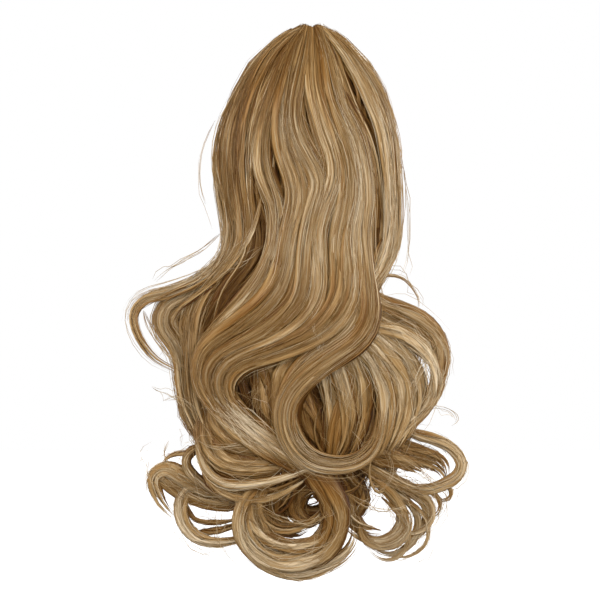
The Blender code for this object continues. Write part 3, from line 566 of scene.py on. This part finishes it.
# Single hairs that have come loose from the outline: few strands along each route.
strayLocks = {
    "leftHigh": stray(3, "-60,-16 -65,-28 -69,-42 -69,-55 -66,-68 -61,-82 -57,-94"),
    "leftLow": stray(5, "-56,-90 -66,-101 -80,-109 -94,-117 -103,-126"),
    "loopCross": stray(7, "-106,-140 -102,-152 -94,-164 -84,-174 -74,-182"),
    "bodyLeft": stray(4, "-101,-189 -93,-191 -84,-196 -76,-204"),
    "bodyLeftLow": stray(3, "-94,-199 -86,-197 -77,-201 -70,-210"),
    "upLeft": stray(4, "-92,-262 -100,-254 -105,-243 -102,-231 -95,-222"),
    "upLeftInner": stray(4, "-80,-246 -88,-240 -92,-230 -88,-220"),
    "rightHigh": stray(4, "58,-40 62,-56 64,-76 64,-96 61,-114 54,-126"),
    "rightCurl": stray(5, "70,-206 76,-203 82,-202 88,-203 93,-206 95,-210 92,-214"),
    "bulgeLoose": stray(8, "40,-134 56,-139 72,-146 86,-158 90,-172 86,-186 78,-198"),
    "bulgeLace": stray(16, "58,-152 68,-160 75,-170 78,-182 76,-196 68,-208"),
    "bulgeWeb": stray(12, "84,-160 78,-168 72,-178 68,-190 66,-204"),
    "gapCross": stray(7, "50,-228 62,-238 74,-246 84,-252 92,-252"),
    "moonCross": stray(5, "22,-256 36,-266 50,-270 62,-268 74,-262"),
    "ringCross": stray(7, "-36,-262 -20,-272 -2,-276 12,-270 20,-258"),
    "bowlCross": stray(9, "-74,-222 -56,-228 -38,-226 -20,-232 -4,-242"),
    "paleLeft": stray(5, "-28,-98 -36,-104 -48,-113 -60,-124 -70,-136"),
}

# Locks laid round the fall by a plan: their angle from the front, their waves and the curl they end in.
sidePlan = {"perSide": 12, "first": 80, "crownShare": 0.70, "wave": 9, "radius": 15, "width": 17, "thick": 9,
            "wisps": 7}


def planned(plan, route, lift, tone):
    section = {key: plan[key] for key in ("width", "thick", "wisps")}
    return section | {"route": route, "lift": lift, "tone": tone, "round": True}


def roundRoute(angle, crownAngle, hand, plan, rng, top, end):
    # down the crown at its angle, below the clip over to its own angle, then one wave and an arc at the end
    s, crown = math.radians(angle) * roundRadius, math.radians(crownAngle) * roundRadius
    route = [(crown, z) for z in (42, 32, 18, 2, -14, -29) if z <= top]
    wave = plan["wave"] * (0.7 + 0.6 * rng.random()) * hand
    route += [((crown + s) / 2, -45), (s, -64), (s - wave * 0.4, -88), (s - wave, -112),
              (s + wave * 0.2, -138), (s + wave, -162)]
    radius = plan["radius"] * (0.8 + 0.5 * rng.random())
    centre = s - wave * 0.4 + hand * radius
    route += [(s - wave * 0.2, (-162 + end) / 2),
              (centre, end, radius, 180 if hand > 0 else 0, hand * (190 + 90 * rng.random()))]
    return route


def planSideLocks(rng):
    # locks from beside the clip down the sides and the back, curling left and right by turns
    locks = {}
    for i in range(2 * sidePlan["perSide"] - 1):
        side = 1 if i % 2 else -1
        angle = sidePlan["first"] + (180 - sidePlan["first"]) * (i // 2) / (sidePlan["perSide"] - 1)
        crown = sidePlan["first"] + (angle - sidePlan["first"]) * sidePlan["crownShare"]
        end = -200 - 42 * rng.random() - 12 * (angle > 140)
        route = roundRoute(side * angle, side * crown, 1 if (i // 2) % 2 else -1, sidePlan, rng, 44, end)
        locks[f"side{i}"] = planned(sidePlan, route, [2, 2, 1, 3], 0.1 * (rng.random() - 0.5))
    return locks


# The under locks' tone is painted shade: they are darker because they lie under the front ones.
underPlan = {"count": 23, "spread": 92, "width": 12, "thick": 8, "wisps": 5, "tone": -0.32,
             "heights": (42, 36, 24, 8, -10, -32, -58, -84, -108, -132)}


def planUnderLocks():
    # a closed layer of plain locks under the front ones, by angle about the fall, darkened as painted shade
    locks = {}
    for i in range(underPlan["count"]):
        s = math.radians((i / (underPlan["count"] - 1) * 2 - 1) * underPlan["spread"]) * roundRadius
        route = [(s + 3 * math.sin(z / 22 + i) * (z < 0), z) for z in underPlan["heights"]]
        locks[f"under{i}"] = planned(underPlan, route, [4, 6, 8], underPlan["tone"])
    return locks


# The fill locks' tone is painted shade: they are darker because they lie inside the fall.
fillPlan = {"count": 20, "spread": 150, "wave": 12, "radius": 17, "width": 20, "thick": 12, "wisps": 6,
            "tone": -0.22}


def planFillLocks(rng):
    # waves and curls inside the fall, darkened as painted shade, which close it behind the open curls
    locks = {}
    for i in range(fillPlan["count"]):
        angle = (i / (fillPlan["count"] - 1) * 2 - 1) * fillPlan["spread"]
        end = -190 - 60 * ((i * goldenStep) % 1.0)
        route = roundRoute(angle, angle, 1 if i % 2 else -1, fillPlan, rng, -29, end)
        deep = 12 + 12 * ((i * 0.382) % 1.0)  # mm under the surface, with another even step
        locks[f"fill{i}"] = planned(fillPlan, route, [8, deep, deep, deep], fillPlan["tone"])
        locks[f"fill{i}"]["rooted"] = False
    return locks


veilPlan = {"count": 96, "stray": 1.1, "finest": 1.6, "broader": 6.0, "shortest": 55, "longest": 130,
            "lowest": -150}


def lockFlow(locks, heights):
    # x of every rooted lock at these heights, sorted: a row for each height, a column for each lock
    columns = []
    for lock in locks.values():
        dense = splineOf(lock["route"], 200)
        columns.append(np.interp(-heights, np.maximum.accumulate(-dense[:, 1]), dense[:, 0]))
    return np.sort(np.array(columns).T, axis=1)


def planVeilLocks(rng):
    # wisps of many widths that lie over the locks and stray from one to its neighbours
    table = np.arange(44, veilPlan["lowest"] - 1, -4.0)
    flow = lockFlow({k: v for k, v in outerLocks.items() if v.get("rooted", True)}, table)
    lastLock = flow.shape[1] - 1
    highest, lowest, shortest, points = 42, veilPlan["lowest"], veilPlan["shortest"], 8
    locks = {}
    for i in range(veilPlan["count"]):
        top = highest - (highest - lowest - shortest) * rng.random() ** 1.5
        bottom = max(lowest, top - shortest - (veilPlan["longest"] - shortest) * rng.random())
        heights = np.linspace(top, bottom, points)
        first = ((i * goldenStep) % 1.0) * lastLock
        drift = veilPlan["stray"] * rng.standard_normal() * np.linspace(0, 1, points)
        pick = np.clip(first + drift, 0, lastLock)
        row = np.interp(-heights, -table, np.arange(len(table)))
        near = np.array([np.interp(pick, np.arange(lastLock + 1), line) for line in flow])
        x = np.array([np.interp(row[j], np.arange(len(table)), near[:, j]) for j in range(points)])
        width = veilPlan["finest"] + veilPlan["broader"] * rng.random() ** 2
        locks[f"veil{i}"] = {"route": list(zip(x.tolist(), heights.tolist())), "width": width, "thick": 2,
                             "lift": [1.0, -1.0, 1.5], "wisps": 1 + round(width / 2.2), "rooted": top > 38,
                             "tone": 0.24 * (rng.random() - 0.6)}
    return locks


frizzPlan = {"count": 110, "left": -76, "right": 76, "top": -150, "bottom": -284, "radius": 9, "spread": 24}


def planFrizzLocks(rng):
    # loose hairs that curl over the waves in all directions: a part of a circle for each
    locks = {}
    for i in range(frizzPlan["count"]):
        z = frizzPlan["top"] + (frizzPlan["bottom"] - frizzPlan["top"]) * rng.random() ** 0.5
        reach = np.interp(z, [frizzPlan["bottom"], -250, -180, frizzPlan["top"]], [0.45, 0.95, 1.0, 0.8])
        x = (frizzPlan["left"] + (frizzPlan["right"] - frizzPlan["left"]) * rng.random()) * reach
        radius = frizzPlan["radius"] + frizzPlan["spread"] * rng.random()
        start, sweep = 360 * rng.random(), rng.choice([-1, 1]) * (50 + 90 * rng.random())
        locks[f"frizz{i}"] = {"route": [(x, z, radius, start, sweep)], "width": 3, "thick": 3, "strands": 2,
                              "lift": [8, 1, 7], "tone": 0.4 * (rng.random() - 0.5), "rooted": False}
    return locks


class Sock:
    # a node's output socket that can be added, subtracted and multiplied; tree is where new nodes go
    tree = None

    def __init__(self, socket):
        self.socket = socket

    def math(self, operation, *others):
        return node("ShaderNodeMath", {"operation": operation}, dict(enumerate([self, *others])))

    def __add__(self, other):
        return self.math("ADD", other)

    def __sub__(self, other):
        return self.math("SUBTRACT", other)

    def __rsub__(self, other):
        return Sock.math(other, "SUBTRACT", self)

    def __mul__(self, other):
        return self.math("MULTIPLY", other)

    __radd__ = __add__

    def clamped(self, low=0.0, high=1.0):
        return self.math("MAXIMUM", low).math("MINIMUM", high)


def node(kind, settings, inputs, output=0):
    # adds a node: its settings first, then the value or link of each socket, and gives one output back
    made = Sock.tree.nodes.new(kind)
    for key, value in settings.items():
        if key == "ramp":
            elements = made.color_ramp.elements
            while len(elements) < len(value):
                elements.new(0.5)
            for element, (place, colour) in zip(elements, value):
                element.position, element.color = place, (*colour, 1)
        else:
            setattr(made, key, value)
    for key, value in inputs.items():
        socket = made.inputs[key]
        if isinstance(value, Sock):
            Sock.tree.links.new(value.socket, socket)
        else:
            socket.default_value = value
    return Sock(made.outputs[output])


def newMaterial(name):
    material = bpy.data.materials.new(name)
    material.use_nodes = True
    Sock.tree = material.node_tree
    return material, material.node_tree.nodes["Principled BSDF"]


def plug(shader, name, value):
    Sock.tree.links.new(value.socket, shader.inputs[name])


hairLook = {
    "shadow": (0.070, 0.024, 0.003),
    "deep": (0.185, 0.086, 0.019),
    "mid": (0.325, 0.206, 0.085),
    "light": (0.63, 0.51, 0.35),
    "stops": (0.0, 0.28, 0.58, 0.95),
    "rootShade": 0.22,
    "layerShade": 0.32,
    "tipLight": 0.10,
    "roughness": 0.38,
    "paintedShadeShift": -0.1,
    "streakMm": 0.36,
    "bandMm": 0.9,
    "bump": 0.35,
    "bumpDepth": 0.0006,
    "specular": 0.12,
    "anisotropic": 0.6,
}


def hairMaterial(name, look, shift=0.0):
    # Streaks along the fibre, from noise that is many times finer across than along, over the tone of
    # each wisp. Deeper layers are darker as painted shade, the roots darker, the tips a little lighter.
    material, shader = newMaterial(name)
    uv = node("ShaderNodeUVMap", {"uv_map": "strandMm"}, {})
    tone = node("ShaderNodeAttribute", {"attribute_name": "tone"}, {})
    parts = Sock.tree.nodes.new("ShaderNodeSeparateColor")
    Sock.tree.links.new(tone.socket, parts.inputs[0])
    wispTone, layer, along = (Sock(parts.outputs[i]) for i in range(3))

    def streak(width, ratio, detail):
        place = node("ShaderNodeMapping", {}, {"Vector": uv, "Scale": (1 / width, 1 / (width * ratio), 1)})
        return node("ShaderNodeTexNoise", {"noise_dimensions": "2D"},
                    {"Vector": place, "Scale": 1.0, "Detail": detail, "Roughness": 0.6})

    fine = streak(look["streakMm"], 70, 2.0)
    band = streak(look["bandMm"], 36, 2.0)
    slow = streak(7, 11, 1.0)
    rootward = (1 - along * 3.2).clamped()
    value = wispTone + (fine - 0.5) * 0.75 + (band - 0.5) * 0.55 + (slow - 0.5) * 0.55 + shift
    # painted shade: the deeper a wisp lies in its lock, the darker; the roots darker and the tips lighter
    value = value - (1 - layer) * look["layerShade"] - rootward * look["rootShade"] + along * look["tipLight"]
    stops = list(zip(look["stops"], (look[key] for key in ("shadow", "deep", "mid", "light"))))
    plug(shader, "Base Color", node("ShaderNodeValToRGB", {"ramp": stops}, {"Fac": value.clamped()}))
    plug(shader, "Roughness", (look["roughness"] + (band - 0.5) * 0.16 + (1 - layer) * 0.1).clamped(0.2, 0.8))
    relief = {"Strength": look["bump"], "Distance": look["bumpDepth"], "Height": fine * 0.65 + band * 0.5}
    plug(shader, "Normal", node("ShaderNodeBump", {}, relief))
    shader.inputs["Specular IOR Level"].default_value = look["specular"]
    shader.inputs["Anisotropic"].default_value = look["anisotropic"]
    print("material made:", name)
    return material


plasticLook = {"dark": (0.012, 0.005, 0.003), "amber": (0.11, 0.042, 0.012), "roughness": 0.16, "coat": 0.4}


def clipMaterial(look):
    # moulded tortoise plastic: amber clouds in near black, with a polished coat
    material, shader = newMaterial("clipPlastic")
    place = node("ShaderNodeTexCoord", {}, {}, 3)
    cloud = node("ShaderNodeTexNoise", {}, {"Vector": place, "Scale": 120.0, "Detail": 3.0})
    scuff = node("ShaderNodeTexNoise", {}, {"Vector": place, "Scale": 900.0, "Detail": 4.0})
    stops = [(0.38, look["dark"]), (0.66, look["amber"])]
    plug(shader, "Base Color", node("ShaderNodeValToRGB", {"ramp": stops}, {"Fac": cloud}))
    plug(shader, "Roughness", (look["roughness"] + scuff * look["roughness"]).clamped())
    shader.inputs["Coat Weight"].default_value = look["coat"]
    return material


# How wisps and strands are drawn: mm between rings, ridges on a wisp, its width as a share of the lock's,
# more or fewer of them, thickness over width, how far they wander, how uneven their tips are, their
# tilt in degrees, how much painted shade darkens them at the lock's edges, and the radius of a strand.
wispForm = {"spacing": 9.0, "ridges": 2, "wispShare": 0.36, "countScale": 1.4, "flatness": 0.20,
            "ridgeDepth": 0.05, "drift": 0.15, "ragged": 0.22, "tilt": 8, "edgeShade": 0.30,
            "dive": 0.30, "waves": 2.6}
veilForm = dict(wispForm, ridges=1, wispShare=0.30, drift=0.2, dive=0.5, waves=1.6)
plainForm = dict(wispForm, spacing=12.0, ridges=1, wispShare=0.34, countScale=1.0, drift=0.14)
curlForm = dict(wispForm, wispShare=0.42, drift=0.12, dive=0.2, flatness=0.17, tilt=5)
sideForm = dict(wispForm, spacing=12.0, ridges=1, wispShare=0.30, countScale=1.3)
strandForm = {"spacing": 12.0, "radius": 0.17, "loose": 6.0, "ragged": 0.25}
looseForm = {"spacing": 12.0, "radius": 0.16, "loose": 12.0, "ragged": 0.35}
frizzForm = {"spacing": 12.0, "radius": 0.11, "loose": 6.0, "ragged": 0.6}

rng = np.random.default_rng(7)
sideLocks, underLocks, fillLocks = planSideLocks(rng), planUnderLocks(), planFillLocks(rng)
veilLocks, frizzLocks = planVeilLocks(rng), planFrizzLocks(rng)

hair = hairMaterial("goldenHair", hairLook)
# a copy of the hair made darker as painted shade, for the locks under and inside the others
hairInPaintedShade = hairMaterial("hairWithPaintedShade", hairLook, hairLook["paintedShadeShift"])


def finishPiece(bundle, nodeName, material, bands):
    made = bundle.build(bands)
    made.data.materials.append(material)
    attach(made, "root")
    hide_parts(nodeName)


def makePiece(name, locks, nodeName, material=hair, form=wispForm):
    bundle = Bundle(name, form["ridges"] * 2 + 4)
    for lock in locks.values():
        addWisps(bundle, lock, form, rng)
    finishPiece(bundle, nodeName, material, 1)


def makeStrands(name, locks, nodeName, perLock, form=strandForm):
    # perLock strands for a lock 12 mm wide, unless the lock gives its own count
    bundle = Bundle(name, 3)
    for lock in locks.values():
        addStrands(bundle, lock, form, rng, lock.get("strands", max(2, round(perLock * lock["width"] / 12))))
    finishPiece(bundle, nodeName, hair, 4)


def partOf(locks, first, last=None, step=1):
    return dict(list(locks.items())[first:last:step])


makePiece("outer_left_locks", partOf(outerLocks, 0, 7), "outer_weft")
makePiece("outer_right_locks", partOf(outerLocks, 7), "outer_weft")
makePiece("crown_under_locks", underLocks, "outer_weft", hairInPaintedShade, plainForm)
makePiece("crown_veil", veilLocks, "outer_weft", hair, veilForm)
makePiece("inside_locks", fillLocks, "middle_weft", hairInPaintedShade, plainForm)
makePiece("middle_locks", middleLocks, "middle_weft", hair, curlForm)
makePiece("low_locks", innerLocks, "inner_weft", hair, curlForm)
makePiece("left_back_locks", partOf(sideLocks, 0, None, 2), "inner_weft", hair, sideForm)
makePiece("right_back_locks", partOf(sideLocks, 1, None, 2), "inner_weft", hair, sideForm)
makeStrands("outer_strands", outerLocks, "outer_weft", 44)
makeStrands("middle_strands", middleLocks, "middle_weft", 26, looseForm)
makeStrands("low_strands", innerLocks, "inner_weft", 30, looseForm)
makeStrands("stray_strands", strayLocks, "outer_weft", 4)
makeStrands("frizz_strands", frizzLocks, "middle_weft", 2, frizzForm)
makeStrands("back_strands", sideLocks, "inner_weft", 7)

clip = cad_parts["claw_clip"]
clip.data.materials.clear()
clip.data.materials.append(clipMaterial(plasticLook))
print("clip dressed:", clip.name)

stage = {"floorZ": -0.62, "floorSize": 14.0, "white": 0.9, "glow": 0.8, "roughness": 0.9}


def makeStage(look):
    bpy.ops.mesh.primitive_plane_add(size=look["floorSize"], location=(0, 0, look["floorZ"]))
    floor = bpy.context.object
    floor.name = "floor"
    material, shader = newMaterial("floorWhite")
    shader.inputs["Base Color"].default_value = (look["white"],) * 3 + (1,)
    shader.inputs["Roughness"].default_value = look["roughness"]
    shader.inputs["Emission Color"].default_value = (1, 1, 1, 1)
    shader.inputs["Emission Strength"].default_value = look["glow"]
    floor.data.materials.append(material)
    floor.visible_diffuse = floor.visible_glossy = False


# the lights: place, the point they face, size in metres and power in watts
lights = {
    "keyLight": ((0.22, -1.45, 0.16), (0, 0, -0.16), 0.9, 22),
    "sideLight": ((-0.9, -1.0, 0.35), (0, 0, -0.15), 0.5, 9),
    "leftRimLight": ((-1.3, 0.15, 0.1), (0, 0, -0.14), 0.9, 9),
    "rightRimLight": ((1.3, 0.15, 0.1), (0, 0, -0.14), 0.9, 14),
    "backLight": ((0.5, 1.3, 0.6), (0, 0, -0.12), 0.6, 14),
}


def areaLight(name, place, target, size, power):
    light = bpy.data.lights.new(name, "AREA")
    light.shape, light.size, light.energy = "DISK", size, power
    lamp = linked(name, light)
    lamp.location = place
    aim = np.array(target) - np.array(place)
    lamp.rotation_euler = Vector(aim).to_track_quat("-Z", "Y").to_euler()


studio = {"middle": (-0.0052, -0.02, -0.13325), "distance": 1.78, "frameWidth": 0.39, "sensor": 36.0,
          "ambient": 0.52}


def makeCamera(look):
    # looks along +Y; the sensor over the lens is the width of the frame over the distance
    camera = bpy.data.cameras.new("camera")
    camera.sensor_width = look["sensor"]
    camera.lens = look["sensor"] * look["distance"] / look["frameWidth"]
    made = linked("camera", camera)
    x, y, z = look["middle"]
    made.location = (x, y - look["distance"], z)
    made.rotation_euler = (math.pi / 2, 0, 0)
    bpy.context.scene.camera = made


def makeWorld(ambient):
    # white behind the object, and a dimmer white as the room's soft light
    world = bpy.data.worlds.new("studio")
    world.use_nodes = True
    Sock.tree = world.node_tree
    background = world.node_tree.nodes["Background"]
    background.inputs["Color"].default_value = (1, 1, 1, 1)
    seen = node("ShaderNodeLightPath", {}, {}, "Is Camera Ray")
    plug(background, "Strength", seen * (1 - ambient) + ambient)
    bpy.context.scene.world = world


makeStage(stage)
makeCamera(studio)
makeWorld(studio["ambient"])
for name, values in lights.items():
    areaLight(name, *values)
bpy.context.scene.view_settings.view_transform = "Standard"
print("stage, camera and lights set")
